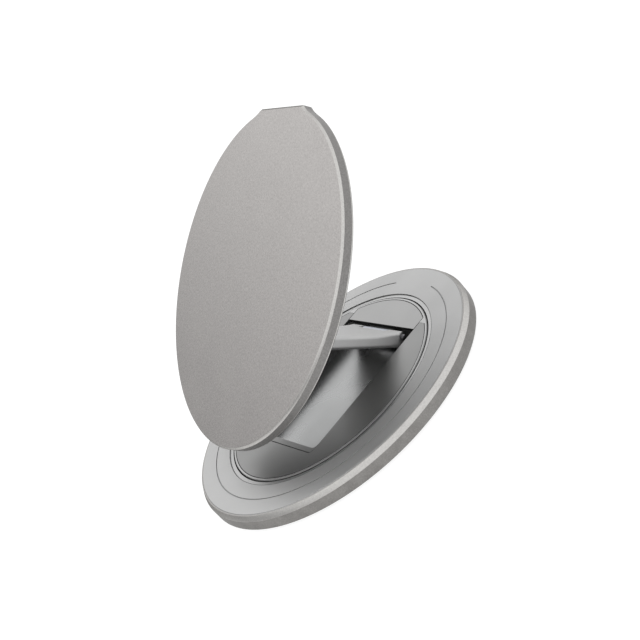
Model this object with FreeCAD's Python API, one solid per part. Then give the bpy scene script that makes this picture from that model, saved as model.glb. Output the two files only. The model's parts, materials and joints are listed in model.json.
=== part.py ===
import FreeCAD, Part
import math
import os
from FreeCAD import Placement, Rotation, Vector

# Folding magnetic phone stand: two equal discs joined by a short wide arm, all lengths in millimetres.
# X runs along both hinge axes, +Y points to the arm's hinge on the base, +Z is up.
# The origin is the middle of the pad that the base disc rests on.

# Arm
ARM_HALF_WIDTH = 8.5
ARM_THICKNESS = 2.25
ARM_TOP_ABOVE_PIVOT = 0.35
ARM_PLAN_RADIUS = 1.8
ARM_SIDE_ROUND = 0.65
ARM_RAMP_LENGTH = 5.0
ARM_HEEL_ROUND = 1.0
ARM_FLOOR_CLEARANCE = 0.1
ARM_NOTCH_CLEARANCE = 0.35

# Hinges
HINGE_FROM_RIM = 7.42
BASE_PIVOT_DROP = 0.6
PLATE_PIVOT_OFFSET = 9.686
PLATE_PIVOT_BEHIND = 1.2
BARREL_RADIUS = 0.9
BARREL_END_ROUND = 0.3
PIN_RADIUS = 0.5
PIN_PROUD = 0.7
PIN_CHAMFER = 0.15
PIN_RUNNING_CLEARANCE = 0.03
KNUCKLE_HALF_WIDTH = 3.9
LEAF_HALF_WIDTH = 6.0
LEAF_THICKNESS = 0.6
PLATE_LEAF_LENGTH = 6.2
LEAF_RIM_GAP = 0.35
LEAF_CLEARANCE = 0.05
LEAF_CORNER_RADIUS = 1.0
NECK_HALF_THICKNESS = 0.6
WASHER_THICKNESS = 0.3
WASHER_RADIUS = 0.8
WASHER_CLEARANCE = 0.1

# Base disc
BASE_RADIUS = 29.0
BASE_BEVEL_WIDTH = 0.5
BASE_BEVEL_HEIGHT = 1.0
BASE_RIM_WIDTH = 0.35
BASE_RIM_DROP = 0.1
RIM_STEP_WIDTH = 0.12
BASE_OUTER_WALL = 1.5
BASE_INNER_WALL = 1.0
PAD_THICKNESS = 0.5
PAD_INSET = 1.2
COVER_THICKNESS = 0.3
COVER_RECESS = 0.2
COVER_INSET = 1.0

# Engraved circle on the base face, open over a bare stretch near the hinge
ENGRAVED_OFFSET = 3.1
ENGRAVED_WIDTH = 0.2
ENGRAVED_DEPTH = 0.15
ENGRAVED_GAP_DEG = 26.6

# Turning disc inside the base
BEZEL_WIDTH = 0.68
BEZEL_DROP = 0.15
ROTOR_GAP = 0.2
ROTOR_RIM = 0.42
ROTOR_EDGE_CHAMFER = 0.12
FLANGE_HEIGHT = 0.6
FLANGE_SIDE_CLEARANCE = 0.17
GLIDE_WIDTH = 1.45
GLIDE_SIDE_CLEARANCE = 0.06
RUNNING_CLEARANCE = 0.05
FACE_PLATE_THICKNESS = 0.5
FACE_PLATE_SEAM = 0.1
FACE_PLATE_REACH = 1.58
FLOOR_PLATE_THICKNESS = 0.15
FLOOR_PLATE_INSET = 0.25

# Slot for the folded arm
SLOT_SIDE_CLEARANCE = 2.5
SLOT_END_CLEARANCE = 1.6
SLOT_CORNER_RADIUS = 1.0
SLOT_LIP = 0.95

# Hinge cover, a D-shaped plate beyond the slot
HINGE_COVER_THICKNESS = 0.6
HINGE_GAP = 0.62
COVER_OVERHANG = 0.13

# Front plate
PLATE_RADIUS = 29.19
PLATE_BODY_THICKNESS = 2.05
PLATE_FRONT_CHAMFER = 0.35
PLATE_BACK_CHAMFER = 0.2
PLATE_OUTER_WALL = 1.7
PLATE_FRONT_WALL = 0.65
BACK_COVER_THICKNESS = 0.45
BACK_COVER_INSET = 0.85
BACK_COVER_CHAMFER = 0.12
WINDOW_SIDE_CLEARANCE = 0.7
WINDOW_BARREL_CLEARANCE = 0.6
TAB_HALF_WIDTH = 7.6
TAB_FLAT_DROP = 0.44
TAB_CORNER_RADIUS = 0.8
TAB_SHOULDER_X = 12.0
TAB_SHOULDER_DIP_X = 9.8
TAB_SHOULDER_DIP = 0.15

# Magnet rings
MAGNET_COUNT = 16
MAGNET_GAP_DEG = 0.8
MAGNET_POCKET_CLEARANCE = 0.1
BASE_MAGNET_WIDTH = 4.38
PLATE_MAGNET_WIDTH = 4.4
BASE_MAGNET_HEIGHT = 1.2
BASE_YOKE_HEIGHT = 0.35
PLATE_MAGNET_HEIGHT = 1.0
PLATE_YOKE_HEIGHT = 0.3

# Countersunk screws
SCREW_SHANK_RADIUS = 0.5
SCREW_HEAD_RADIUS = 1.0
SCREW_HEAD_HEIGHT = 0.25
SCREW_LENGTH = 1.2
LEAF_SCREW_X = 4.4

# Pose in use, in degrees from folded flat
ARM_OPEN_DEG = 45.73
PLATE_TILT_DEG = 34.12

# Levels and places worked out from the sizes above
COVER_TOP_Z = PAD_THICKNESS + COVER_THICKNESS
WALL_FOOT_Z = COVER_TOP_Z - COVER_RECESS
SLOT_FLOOR_Z = COVER_TOP_Z + RUNNING_CLEARANCE + FLOOR_PLATE_THICKNESS
SLOT_DEPTH = BASE_PIVOT_DROP + ARM_THICKNESS - ARM_TOP_ABOVE_PIVOT + ARM_FLOOR_CLEARANCE
FACE_Z = SLOT_FLOOR_Z + SLOT_DEPTH
BASE_PIVOT_Z = FACE_Z - BASE_PIVOT_DROP
BASE_MAGNET_OUTER = BASE_RADIUS - BASE_OUTER_WALL - MAGNET_POCKET_CLEARANCE
BASE_MAGNETS = (BASE_MAGNET_OUTER - BASE_MAGNET_WIDTH, BASE_MAGNET_OUTER)
BEZEL_OUTER_RADIUS = BASE_MAGNETS[0] - MAGNET_POCKET_CLEARANCE - BASE_INNER_WALL
ENGRAVED_RADIUS = BEZEL_OUTER_RADIUS + ENGRAVED_OFFSET
SATIN_RADIUS = BASE_RADIUS - BASE_BEVEL_WIDTH - BASE_RIM_WIDTH
RIM_Z = FACE_Z - BASE_RIM_DROP
BEZEL_INNER_RADIUS = BEZEL_OUTER_RADIUS - BEZEL_WIDTH
ROTOR_RADIUS = BEZEL_INNER_RADIUS - ROTOR_GAP
FACE_PLATE_RADIUS = ROTOR_RADIUS - ROTOR_RIM
BASE_PIVOT_Y = FACE_PLATE_RADIUS - HINGE_FROM_RIM
PIVOT_SPACING = BASE_PIVOT_Y + PLATE_PIVOT_OFFSET
FLANGE_RADIUS = BEZEL_OUTER_RADIUS - FLANGE_SIDE_CLEARANCE
FLANGE_TOP_Z = SLOT_FLOOR_Z + FLANGE_HEIGHT
BEZEL_FOOT_Z = FLANGE_TOP_Z + RUNNING_CLEARANCE
GLIDE_OUTER_RADIUS = BEZEL_OUTER_RADIUS - GLIDE_SIDE_CLEARANCE
GLIDE_INNER_RADIUS = GLIDE_OUTER_RADIUS - GLIDE_WIDTH
FLOOR_PLATE_RADIUS = GLIDE_INNER_RADIUS - FLOOR_PLATE_INSET
SLOT_HALF_WIDTH = ARM_HALF_WIDTH + SLOT_SIDE_CLEARANCE
SLOT_LOW_END = -PLATE_PIVOT_OFFSET - BARREL_RADIUS - SLOT_END_CLEARANCE
HINGE_COVER_EDGE = BASE_PIVOT_Y + BARREL_RADIUS + HINGE_GAP
SLOT_HIGH_END = HINGE_COVER_EDGE + COVER_OVERHANG
FACE_PLATE_END = HINGE_COVER_EDGE + FACE_PLATE_REACH
PIN_HALF_LENGTH = ARM_HALF_WIDTH + PIN_PROUD
NOTCH_HALF_WIDTH = KNUCKLE_HALF_WIDTH + WASHER_THICKNESS + 2 * WASHER_CLEARANCE
NOTCH_DEPTH = BARREL_RADIUS + ARM_NOTCH_CLEARANCE
COVER_LEAF_TOP_Z = FACE_Z - HINGE_COVER_THICKNESS - LEAF_CLEARANCE
BASE_LEAF_END = math.sqrt(FACE_PLATE_RADIUS ** 2 - LEAF_HALF_WIDTH ** 2) - LEAF_RIM_GAP
PLATE_MAGNET_OUTER = PLATE_RADIUS - PLATE_OUTER_WALL - MAGNET_POCKET_CLEARANCE
PLATE_MAGNETS = (PLATE_MAGNET_OUTER - PLATE_MAGNET_WIDTH, PLATE_MAGNET_OUTER)
PLATE_THICKNESS = PLATE_BODY_THICKNESS + BACK_COVER_THICKNESS
PLATE_PIVOT_DEPTH = PLATE_THICKNESS + PLATE_PIVOT_BEHIND
PLATE_LEAF_DEPTH = PLATE_BODY_THICKNESS - LEAF_CLEARANCE - LEAF_THICKNESS
BACK_COVER_RADIUS = PLATE_RADIUS - BACK_COVER_INSET
WINDOW_HALF_WIDTH = PIN_HALF_LENGTH + WINDOW_SIDE_CLEARANCE
WINDOW_HALF_HEIGHT = BARREL_RADIUS + WINDOW_BARREL_CLEARANCE
TAB_TOP = PLATE_RADIUS - TAB_FLAT_DROP

X_AXIS = Vector(1, 0, 0)
Z_AXIS = Vector(0, 0, 1)
ORIGIN = Vector(0, 0, 0)

# Turns the arm and the plate from folded flat to the pose in use
ARM_PLACE = Placement(Vector(0, BASE_PIVOT_Y, BASE_PIVOT_Z), Rotation(X_AXIS, -ARM_OPEN_DEG))
PLATE_PIVOT = ARM_PLACE.multVec(Vector(0, -PIVOT_SPACING, 0))
PLATE_TURN = Rotation(X_AXIS, PLATE_TILT_DEG)
PLATE_PLACE = Placement(
    PLATE_PIVOT - PLATE_TURN.multVec(Vector(0, -PLATE_PIVOT_OFFSET, -PLATE_PIVOT_DEPTH)),
    PLATE_TURN,
)


def lathe(points):
    """Solid turned about Z from (radius, height) corners."""
    wire = Part.makePolygon([Vector(r, 0, z) for r, z in points] + [Vector(points[0][0], 0, points[0][1])])
    return Part.Face(wire).revolve(ORIGIN, Z_AXIS, 360)


def ring(inner, outer, low, high):
    """Plain ring between two radii and two heights."""
    return lathe([(inner, low), (outer, low), (outer, high), (inner, high)])


def sector(inner, outer, low, high, start_deg, sweep_deg):
    """Part of a ring, from a start angle through a sweep."""
    wire = Part.makePolygon(
        [Vector(inner, 0, low), Vector(outer, 0, low), Vector(outer, 0, high), Vector(inner, 0, high),
         Vector(inner, 0, low)]
    )
    solid = Part.Face(wire).revolve(ORIGIN, Z_AXIS, sweep_deg)
    solid.rotate(ORIGIN, Z_AXIS, start_deg)
    return solid


def block(x_half, y_low, y_high, z_low, z_high):
    """Box centred on X."""
    return Part.makeBox(2 * x_half, y_high - y_low, z_high - z_low, Vector(-x_half, y_low, z_low))


def rounded_block(x_half, y_low, y_high, z_low, z_high, radius):
    """Box centred on X with its four upright edges rounded."""
    solid = block(x_half, y_low, y_high, z_low, z_high)
    upright = [e for e in solid.Edges if abs(e.Vertexes[0].Z - e.Vertexes[1].Z) > radius * 0.01]
    return solid.makeFillet(radius, upright)


def x_cylinder(radius, half_length, y, z):
    """Cylinder along X, centred on X."""
    return Part.makeCylinder(radius, 2 * half_length, Vector(-half_length, y, z), X_AXIS)


def screw(tip_direction):
    """Countersunk screw with its head's top at the origin and its shank along tip_direction (+1 or -1)."""
    head = Part.makeCone(
        SCREW_HEAD_RADIUS, SCREW_SHANK_RADIUS, SCREW_HEAD_HEIGHT, ORIGIN, Z_AXIS * tip_direction
    )
    shank = Part.makeCylinder(
        SCREW_SHANK_RADIUS, SCREW_LENGTH - SCREW_HEAD_HEIGHT, Z_AXIS * (tip_direction * SCREW_HEAD_HEIGHT),
        Z_AXIS * tip_direction,
    )
    return head.fuse(shank).removeSplitter()


def screws_at(places, tip_direction):
    """A group of equal screws at the given points."""
    group = []
    for place in places:
        one = screw(tip_direction)
        one.translate(place)
        group.append(one)
    return Part.Compound(group)


def magnet_blocks(radii, low, high):
    """Wedge-shaped magnets of one ring: flat sides that touch the inner circle, corners on the outer."""
    pitch = 2 * math.pi / MAGNET_COUNT
    half = pitch / 2 - math.radians(MAGNET_GAP_DEG / 2)
    inner = radii[0] / math.cos(half)
    corners = [(inner, -half), (radii[1], -half), (radii[1], half), (inner, half), (inner, -half)]
    blocks = []
    for i in range(MAGNET_COUNT):
        turn = (i + 0.5) * pitch
        points = [Vector(r * math.cos(turn + a), r * math.sin(turn + a), low) for r, a in corners]
        blocks.append(Part.Face(Part.makePolygon(points)).extrude(Vector(0, 0, high - low)))
    return Part.Compound(blocks)


def magnet_pocket(radii, low, high):
    """Ring pocket that holds the magnets and their steel ring."""
    return ring(radii[0] - MAGNET_POCKET_CLEARANCE, radii[1] + MAGNET_POCKET_CLEARANCE, low, high)


# Base disc
def base_ring():
    """Outer ring: bevelled edge, low rim round its face, engraved circle, magnet pocket."""
    body = lathe([
        (BEZEL_OUTER_RADIUS, WALL_FOOT_Z),
        (BASE_RADIUS, WALL_FOOT_Z),
        (BASE_RADIUS, FACE_Z - BASE_BEVEL_HEIGHT),
        (BASE_RADIUS - BASE_BEVEL_WIDTH, RIM_Z),
        (SATIN_RADIUS + RIM_STEP_WIDTH, RIM_Z),
        (SATIN_RADIUS, FACE_Z),
        (BEZEL_OUTER_RADIUS, FACE_Z),
    ])
    recess = Part.makeCylinder(BASE_RADIUS - COVER_INSET, COVER_RECESS, Vector(0, 0, WALL_FOOT_Z))
    pocket = magnet_pocket(BASE_MAGNETS, COVER_TOP_Z, COVER_TOP_Z + BASE_MAGNET_HEIGHT + BASE_YOKE_HEIGHT)
    groove = sector(
        ENGRAVED_RADIUS - ENGRAVED_WIDTH / 2, ENGRAVED_RADIUS + ENGRAVED_WIDTH / 2, FACE_Z - ENGRAVED_DEPTH,
        FACE_Z + ENGRAVED_DEPTH, 90 + ENGRAVED_GAP_DEG / 2, 360 - ENGRAVED_GAP_DEG,
    )
    return body.cut(recess).cut(pocket).cut(groove)


def base_cover():
    """Thin disc that closes the underside."""
    return Part.makeCylinder(BASE_RADIUS - COVER_INSET, COVER_THICKNESS, Vector(0, 0, PAD_THICKNESS))


def base_pad():
    """Soft disc under the cover."""
    return Part.makeCylinder(BASE_RADIUS - PAD_INSET, PAD_THICKNESS)


def base_magnets():
    """Magnets of the base, on the cover."""
    return magnet_blocks(BASE_MAGNETS, COVER_TOP_Z, COVER_TOP_Z + BASE_MAGNET_HEIGHT)


def base_yoke():
    """Steel ring over the base magnets."""
    low = COVER_TOP_Z + BASE_MAGNET_HEIGHT
    return ring(*BASE_MAGNETS, low, low + BASE_YOKE_HEIGHT)


def bezel_ring():
    """Narrow ring pressed into the base a little below its face, which keeps the turning disc in."""
    return ring(BEZEL_INNER_RADIUS, BEZEL_OUTER_RADIUS, BEZEL_FOOT_Z, FACE_Z - BEZEL_DROP)


def glide_ring():
    """Slippery ring under the turning disc's flange."""
    return ring(GLIDE_INNER_RADIUS, GLIDE_OUTER_RADIUS, COVER_TOP_Z, SLOT_FLOOR_Z - RUNNING_CLEARANCE)


# Turning disc
def face_plate_outline(radius, bay_end):
    """Disc cut off beside the hinge cover, with a bay as wide as the slot: the U-plate or its recess."""
    low = FACE_Z - FACE_PLATE_THICKNESS
    disc = Part.makeCylinder(radius, FACE_PLATE_THICKNESS, Vector(0, 0, low))
    bay = rounded_block(SLOT_HALF_WIDTH, bay_end, 2 * radius, low, FACE_Z, SLOT_CORNER_RADIUS)
    return disc.common(block(radius, -radius, FACE_PLATE_END, low, FACE_Z)).cut(bay)


def hinge_cover_outline(half_width, edge, radius, low, high):
    """D shape: a disc's end beyond a straight edge, cut to the slot's width."""
    return Part.makeCylinder(radius, high - low, Vector(0, 0, low)).common(
        block(half_width, edge, 2 * radius, low, high)
    )


def leaf_screw_points(z):
    """Middles of the two screws in the base hinge's leaf."""
    y = (HINGE_COVER_EDGE + BASE_LEAF_END) / 2
    return [Vector(-LEAF_SCREW_X, y, z), Vector(LEAF_SCREW_X, y, z)]


def rotor_disc():
    """Turning disc with its flange, the arm's slot, and recesses for the plates on its face."""
    body = lathe([
        (0, SLOT_FLOOR_Z), (FLANGE_RADIUS, SLOT_FLOOR_Z), (FLANGE_RADIUS, FLANGE_TOP_Z),
        (ROTOR_RADIUS, FLANGE_TOP_Z), (ROTOR_RADIUS, FACE_Z - ROTOR_EDGE_CHAMFER),
        (ROTOR_RADIUS - ROTOR_EDGE_CHAMFER, FACE_Z), (0, FACE_Z),
    ])
    slot = rounded_block(
        SLOT_HALF_WIDTH, SLOT_LOW_END, SLOT_HIGH_END, SLOT_FLOOR_Z, FACE_Z, SLOT_CORNER_RADIUS
    )
    face_recess = face_plate_outline(FACE_PLATE_RADIUS, SLOT_LOW_END - SLOT_LIP)
    cover_recess = hinge_cover_outline(
        SLOT_HALF_WIDTH, SLOT_HIGH_END - SLOT_CORNER_RADIUS, FACE_PLATE_RADIUS,
        FACE_Z - HINGE_COVER_THICKNESS, FACE_Z,
    )
    leaf_pocket = rounded_block(
        LEAF_HALF_WIDTH + LEAF_CLEARANCE, SLOT_HIGH_END - LEAF_CORNER_RADIUS,
        BASE_LEAF_END + LEAF_CLEARANCE, COVER_LEAF_TOP_Z - LEAF_THICKNESS, FACE_Z, LEAF_CORNER_RADIUS,
    )
    solid = body.cut(slot).cut(face_recess).cut(cover_recess).cut(leaf_pocket)
    for place in leaf_screw_points(COVER_LEAF_TOP_Z):
        solid = solid.cut(Part.makeCylinder(SCREW_SHANK_RADIUS, SCREW_LENGTH, place, -Z_AXIS))
    return solid


def slot_floor_plate():
    """Polished steel disc bonded under the turning disc, seen as the slot's floor."""
    low = SLOT_FLOOR_Z - FLOOR_PLATE_THICKNESS
    return Part.makeCylinder(FLOOR_PLATE_RADIUS, FLOOR_PLATE_THICKNESS, Vector(0, 0, low))


def rotor_face_plate():
    """U-shaped satin plate set into the turning disc, flush with the slot's long sides."""
    return face_plate_outline(FACE_PLATE_RADIUS - FACE_PLATE_SEAM, SLOT_LOW_END - SLOT_LIP - FACE_PLATE_SEAM)


def hinge_cover():
    """D-shaped plate over the base hinge's leaf."""
    return hinge_cover_outline(
        SLOT_HALF_WIDTH - FACE_PLATE_SEAM, HINGE_COVER_EDGE, FACE_PLATE_RADIUS - FACE_PLATE_SEAM,
        FACE_Z - HINGE_COVER_THICKNESS, FACE_Z,
    )


# Hinges
def hinge_pin(y, z):
    """Pin along X with chamfered ends."""
    pin = x_cylinder(PIN_RADIUS, PIN_HALF_LENGTH, y, z)
    return pin.makeChamfer(PIN_CHAMFER, [e for e in pin.Edges if len(e.Vertexes) == 1])


def hinge_washers(y, z):
    """Friction washers on both sides of a knuckle."""
    inner = KNUCKLE_HALF_WIDTH + WASHER_CLEARANCE
    pair = []
    for start in (inner, -inner - WASHER_THICKNESS):
        disc = Part.makeCylinder(WASHER_RADIUS, WASHER_THICKNESS, Vector(start, y, z), X_AXIS)
        bore = Part.makeCylinder(PIN_RADIUS, WASHER_THICKNESS, Vector(start, y, z), X_AXIS)
        pair.append(disc.cut(bore))
    return Part.Compound(pair)


def base_hinge_knuckle():
    """Steel leaf under the hinge cover, with the barrel that the pin passes through."""
    low = COVER_LEAF_TOP_Z - LEAF_THICKNESS
    barrel = x_cylinder(BARREL_RADIUS, KNUCKLE_HALF_WIDTH, BASE_PIVOT_Y, BASE_PIVOT_Z)
    neck = block(
        KNUCKLE_HALF_WIDTH, BASE_PIVOT_Y, HINGE_COVER_EDGE + LEAF_CORNER_RADIUS, low, COVER_LEAF_TOP_Z
    )
    leaf = rounded_block(
        LEAF_HALF_WIDTH, HINGE_COVER_EDGE, BASE_LEAF_END, low, COVER_LEAF_TOP_Z, LEAF_CORNER_RADIUS
    )
    solid = barrel.fuse([neck, leaf]).removeSplitter()
    return solid.cut(base_hinge_pin()).cut(base_leaf_screws())


def base_hinge_pin():
    """Pin of the arm's hinge on the turning disc."""
    return hinge_pin(BASE_PIVOT_Y, BASE_PIVOT_Z)


def base_hinge_washers():
    """Friction washers of the base hinge."""
    return hinge_washers(BASE_PIVOT_Y, BASE_PIVOT_Z)


def base_leaf_screws():
    """Two screws that hold the base hinge's leaf to the turning disc."""
    return screws_at(leaf_screw_points(COVER_LEAF_TOP_Z), -1)


# Arm, drawn folded flat with its base pivot at the origin
def arm_slab():
    """Arm without its barrels: rounded long sides and heels, and a top that ramps up to both barrels."""
    low = ARM_TOP_ABOVE_PIVOT - ARM_THICKNESS
    side = [
        (-PIVOT_SPACING, low), (0, low), (0, BARREL_RADIUS), (-ARM_RAMP_LENGTH, ARM_TOP_ABOVE_PIVOT),
        (ARM_RAMP_LENGTH - PIVOT_SPACING, ARM_TOP_ABOVE_PIVOT), (-PIVOT_SPACING, BARREL_RADIUS),
    ]
    corners = [Vector(-ARM_HALF_WIDTH, y, z) for y, z in side]
    slab = Part.Face(Part.makePolygon(corners + corners[:1])).extrude(Vector(2 * ARM_HALF_WIDTH, 0, 0))
    across = [e for e in slab.Edges if abs(e.Vertexes[0].X - e.Vertexes[1].X) > ARM_HALF_WIDTH]
    heels = [e for e in across if e.Vertexes[0].Z < 0]
    long_sides = [e for e in slab.Edges if abs(e.Vertexes[0].Y - e.Vertexes[1].Y) > ARM_RAMP_LENGTH / 2]
    return slab.makeFillet(ARM_HEEL_ROUND, heels).common(slab.makeFillet(ARM_SIDE_ROUND, long_sides))


def arm_barrel(y):
    """Barrel across one end of the arm, with rounded ends."""
    barrel = x_cylinder(BARREL_RADIUS, ARM_HALF_WIDTH, y, 0)
    return barrel.makeFillet(BARREL_END_ROUND, [e for e in barrel.Edges if len(e.Vertexes) == 1])


def arm():
    """Flat arm with a barrel and a notch at each end."""
    low = ARM_TOP_ABOVE_PIVOT - ARM_THICKNESS
    body = arm_slab().fuse([arm_barrel(0), arm_barrel(-PIVOT_SPACING)]).removeSplitter()
    plan = rounded_block(
        ARM_HALF_WIDTH, -PIVOT_SPACING - BARREL_RADIUS, BARREL_RADIUS, low, BARREL_RADIUS, ARM_PLAN_RADIUS
    )
    body = body.common(plan)
    notch_reach = NOTCH_DEPTH + BARREL_RADIUS
    for y in (-NOTCH_DEPTH, -PIVOT_SPACING - BARREL_RADIUS):
        body = body.cut(block(NOTCH_HALF_WIDTH, y, y + notch_reach, low, BARREL_RADIUS))
    for y in (0, -PIVOT_SPACING):
        body = body.cut(x_cylinder(PIN_RADIUS + PIN_RUNNING_CLEARANCE, ARM_HALF_WIDTH, y, 0))
    return body


# Front plate, drawn flat with the middle of its front face at the origin and its back below
def plate_outline():
    """Round outline with a flat-topped finger tab, its shoulders dipping a little inside the circle."""
    def on_circle(x, radius):
        return Vector(x, math.sqrt(radius ** 2 - x ** 2), 0)

    right = on_circle(TAB_SHOULDER_X, PLATE_RADIUS)
    left = on_circle(-TAB_SHOULDER_X, PLATE_RADIUS)
    right_dip = on_circle(TAB_SHOULDER_DIP_X, PLATE_RADIUS - TAB_SHOULDER_DIP)
    left_dip = on_circle(-TAB_SHOULDER_DIP_X, PLATE_RADIUS - TAB_SHOULDER_DIP)
    right_corner = Vector(TAB_HALF_WIDTH, TAB_TOP, 0)
    left_corner = Vector(-TAB_HALF_WIDTH, TAB_TOP, 0)
    edges = [
        Part.Arc(right, Vector(0, -PLATE_RADIUS, 0), left),
        Part.Arc(left, left_dip, left_corner),
        Part.LineSegment(left_corner, right_corner),
        Part.Arc(right_corner, right_dip, right),
    ]
    return Part.Wire([e.toShape() for e in edges])


def plate_leaf_pocket():
    """Room in the plate's back for the hinge's leaf and neck."""
    return rounded_block(
        LEAF_HALF_WIDTH + LEAF_CLEARANCE, -PLATE_PIVOT_OFFSET - PLATE_LEAF_LENGTH - LEAF_CLEARANCE,
        -PLATE_PIVOT_OFFSET + WINDOW_HALF_HEIGHT, -PLATE_BODY_THICKNESS, -PLATE_LEAF_DEPTH,
        LEAF_CORNER_RADIUS,
    )


def plate_screw_points():
    """Middles of the two screws in the plate hinge's leaf."""
    y = -PLATE_PIVOT_OFFSET - (WINDOW_HALF_HEIGHT + PLATE_LEAF_LENGTH) / 2
    z = -PLATE_LEAF_DEPTH - LEAF_THICKNESS
    return [Vector(-LEAF_SCREW_X, y, z), Vector(LEAF_SCREW_X, y, z)]


def front_plate():
    """Round plate with a chamfered edge and finger tab, a magnet pocket and a leaf pocket in its back."""
    body = Part.Face(plate_outline()).extrude(Vector(0, 0, -PLATE_BODY_THICKNESS))
    corners = [e for e in body.Edges
               if abs(e.Vertexes[0].Z - e.Vertexes[-1].Z) > PLATE_BODY_THICKNESS / 2
               and e.Vertexes[0].Y > TAB_TOP - TAB_CORNER_RADIUS]
    body = body.makeFillet(TAB_CORNER_RADIUS, corners)
    front = [e for e in body.Edges if max(v.Z for v in e.Vertexes) > -PLATE_FRONT_CHAMFER / 2
             and min(v.Z for v in e.Vertexes) > -PLATE_FRONT_CHAMFER / 2]
    body = body.makeChamfer(PLATE_FRONT_CHAMFER, front)
    back_level = -PLATE_BODY_THICKNESS + PLATE_BACK_CHAMFER / 2
    back = [e for e in body.Edges if max(v.Z for v in e.Vertexes) < back_level]
    body = body.makeChamfer(PLATE_BACK_CHAMFER, back)
    pocket = magnet_pocket(PLATE_MAGNETS, -PLATE_BODY_THICKNESS, -PLATE_FRONT_WALL)
    body = body.cut(pocket).cut(plate_leaf_pocket())
    for place in plate_screw_points():
        body = body.cut(Part.makeCylinder(SCREW_SHANK_RADIUS, SCREW_LENGTH, place, Z_AXIS))
    return body


def back_cover():
    """Thin disc over the plate's back, with a window for the hinge barrels."""
    low = -PLATE_THICKNESS
    cover = Part.makeCylinder(BACK_COVER_RADIUS, BACK_COVER_THICKNESS, Vector(0, 0, low))
    rim = [e for e in cover.Edges if len(e.Vertexes) == 1 and e.Vertexes[0].Z < low + BACK_COVER_CHAMFER]
    cover = cover.makeChamfer(BACK_COVER_CHAMFER, rim)
    window = rounded_block(
        WINDOW_HALF_WIDTH, -PLATE_PIVOT_OFFSET - WINDOW_HALF_HEIGHT,
        -PLATE_PIVOT_OFFSET + WINDOW_HALF_HEIGHT, low, -PLATE_BODY_THICKNESS, SLOT_CORNER_RADIUS,
    )
    return cover.cut(window)


def plate_magnets():
    """Magnets of the plate, behind its front wall."""
    return magnet_blocks(PLATE_MAGNETS, -PLATE_FRONT_WALL - PLATE_MAGNET_HEIGHT, -PLATE_FRONT_WALL)


def plate_yoke():
    """Steel ring behind the plate's magnets."""
    high = -PLATE_FRONT_WALL - PLATE_MAGNET_HEIGHT
    return ring(*PLATE_MAGNETS, high - PLATE_YOKE_HEIGHT, high)


def plate_hinge_knuckle():
    """Steel leaf in the plate's back, with a neck and barrel that stand out through the window."""
    low = -PLATE_LEAF_DEPTH - LEAF_THICKNESS
    barrel = x_cylinder(BARREL_RADIUS, KNUCKLE_HALF_WIDTH, -PLATE_PIVOT_OFFSET, -PLATE_PIVOT_DEPTH)
    neck = block(
        KNUCKLE_HALF_WIDTH, -PLATE_PIVOT_OFFSET - NECK_HALF_THICKNESS,
        -PLATE_PIVOT_OFFSET + NECK_HALF_THICKNESS, -PLATE_PIVOT_DEPTH, -PLATE_LEAF_DEPTH,
    )
    leaf = rounded_block(
        LEAF_HALF_WIDTH, -PLATE_PIVOT_OFFSET - PLATE_LEAF_LENGTH,
        -PLATE_PIVOT_OFFSET + NECK_HALF_THICKNESS, low, -PLATE_LEAF_DEPTH, LEAF_CORNER_RADIUS,
    )
    solid = barrel.fuse([neck, leaf]).removeSplitter()
    return solid.cut(plate_hinge_pin()).cut(plate_leaf_screws())


def plate_hinge_pin():
    """Pin of the plate's hinge on the arm."""
    return hinge_pin(-PLATE_PIVOT_OFFSET, -PLATE_PIVOT_DEPTH)


def plate_hinge_washers():
    """Friction washers of the plate hinge."""
    return hinge_washers(-PLATE_PIVOT_OFFSET, -PLATE_PIVOT_DEPTH)


def plate_leaf_screws():
    """Two screws that hold the plate hinge's leaf."""
    return screws_at(plate_screw_points(), 1)


# Each node with its maker and the place of the frame that it is drawn in
FLAT = Placement()
NODES = [
    (base_ring, FLAT),
    (base_cover, FLAT),
    (base_pad, FLAT),
    (base_magnets, FLAT),
    (base_yoke, FLAT),
    (bezel_ring, FLAT),
    (glide_ring, FLAT),
    (rotor_disc, FLAT),
    (slot_floor_plate, FLAT),
    (rotor_face_plate, FLAT),
    (hinge_cover, FLAT),
    (base_hinge_knuckle, FLAT),
    (base_hinge_pin, FLAT),
    (base_hinge_washers, FLAT),
    (base_leaf_screws, FLAT),
    (arm, ARM_PLACE),
    (front_plate, PLATE_PLACE),
    (back_cover, PLATE_PLACE),
    (plate_magnets, PLATE_PLACE),
    (plate_yoke, PLATE_PLACE),
    (plate_hinge_knuckle, PLATE_PLACE),
    (plate_hinge_pin, PLATE_PLACE),
    (plate_hinge_washers, PLATE_PLACE),
    (plate_leaf_screws, PLATE_PLACE),
]

os.makedirs("parts", exist_ok=True)
for maker, place in NODES:
    shape = maker().copy()
    shape.Placement = place.multiply(shape.Placement)
    name = maker.__name__
    shape.exportStep(os.path.join("parts", name + ".step"))
    box = shape.BoundBox
    print(f"{name}: {len(shape.Solids)} solids, valid {shape.isValid()}, volume {shape.Volume:.2f}, "
          f"x {box.XMin:.2f} {box.XMax:.2f}, y {box.YMin:.2f} {box.YMax:.2f}, "
          f"z {box.ZMin:.2f} {box.ZMax:.2f}")
print("plate pivot", PLATE_PIVOT, "plate centre", PLATE_PLACE.Base)
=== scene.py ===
"""Looks of a folding magnetic phone stand: eased edges, finishes, soft light and the photo's view."""
import json
import logging
import math
from abc import ABC, abstractmethod
from dataclasses import dataclass, field
from enum import Enum

import bmesh
import bpy
import numpy as np
from mathutils import Matrix, Vector


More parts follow.
